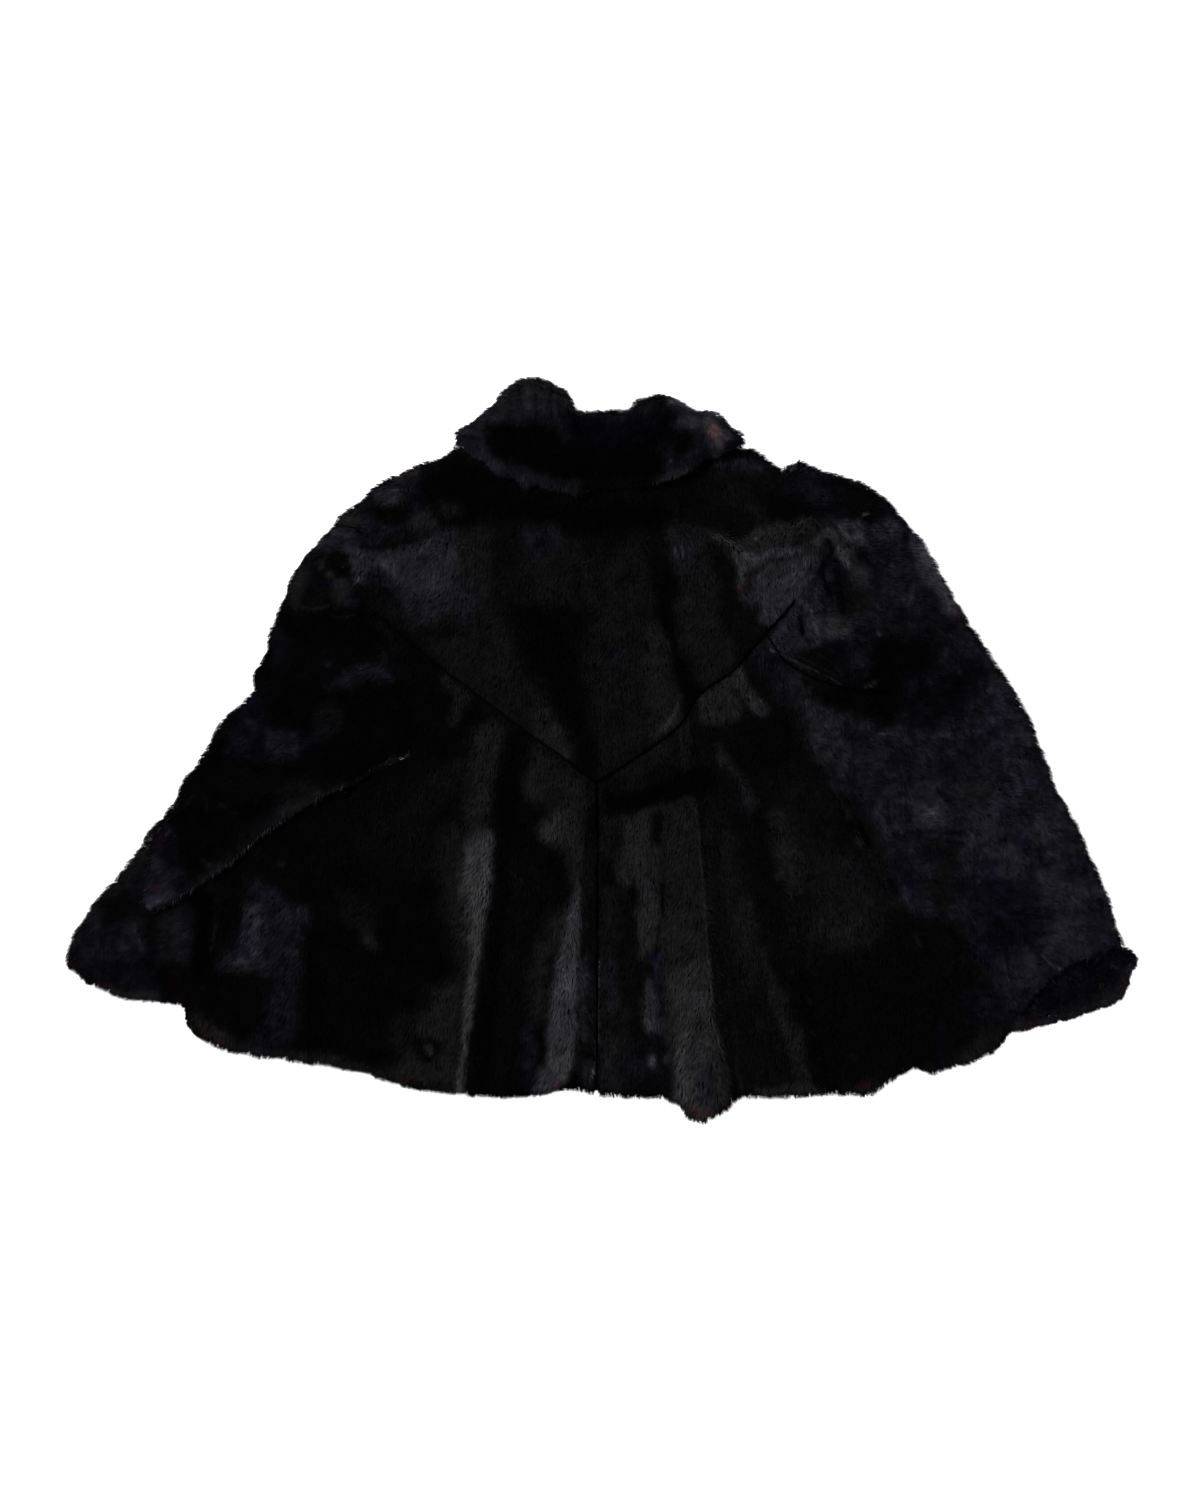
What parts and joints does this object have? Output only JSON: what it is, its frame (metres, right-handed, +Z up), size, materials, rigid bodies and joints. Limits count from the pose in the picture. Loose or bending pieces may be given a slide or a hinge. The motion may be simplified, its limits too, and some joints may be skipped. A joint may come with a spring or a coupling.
{
  "type": "fur capelet",
  "caption": "Short sheared-fur capelet with a turned-down collar, laid flat on its front, for a wardrobe, shop or dressing-room scene",
  "frame": {"origin": "middle of the outline, on the surface that the cape lies on", "axes": "+X to the wearer's right, across the back; +Y from the hem to the collar; +Z up, away from the surface"},
  "size_m": [0.9635, 0.6674, 0.0439],
  "materials": {
    "back_fur": "matt sheared fur, warm black",
    "side_fur": "matt sheared fur, bluish black",
    "collar_fur": "matt sheared fur, black"
  },
  "bodies": {
    "root": {"yoke_back": "back_fur", "back_left": "back_fur", "back_right": "back_fur", "shoulder_left": "side_fur", "shoulder_right": "side_fur", "arm_left": "side_fur", "arm_hem_left": "side_fur", "arm_right": "side_fur", "front_left": "side_fur", "front_right": "side_fur", "collar_fall": "collar_fur", "collar_end_left": "collar_fur", "collar_end_right": "collar_fur"}
  },
  "joints": []
}
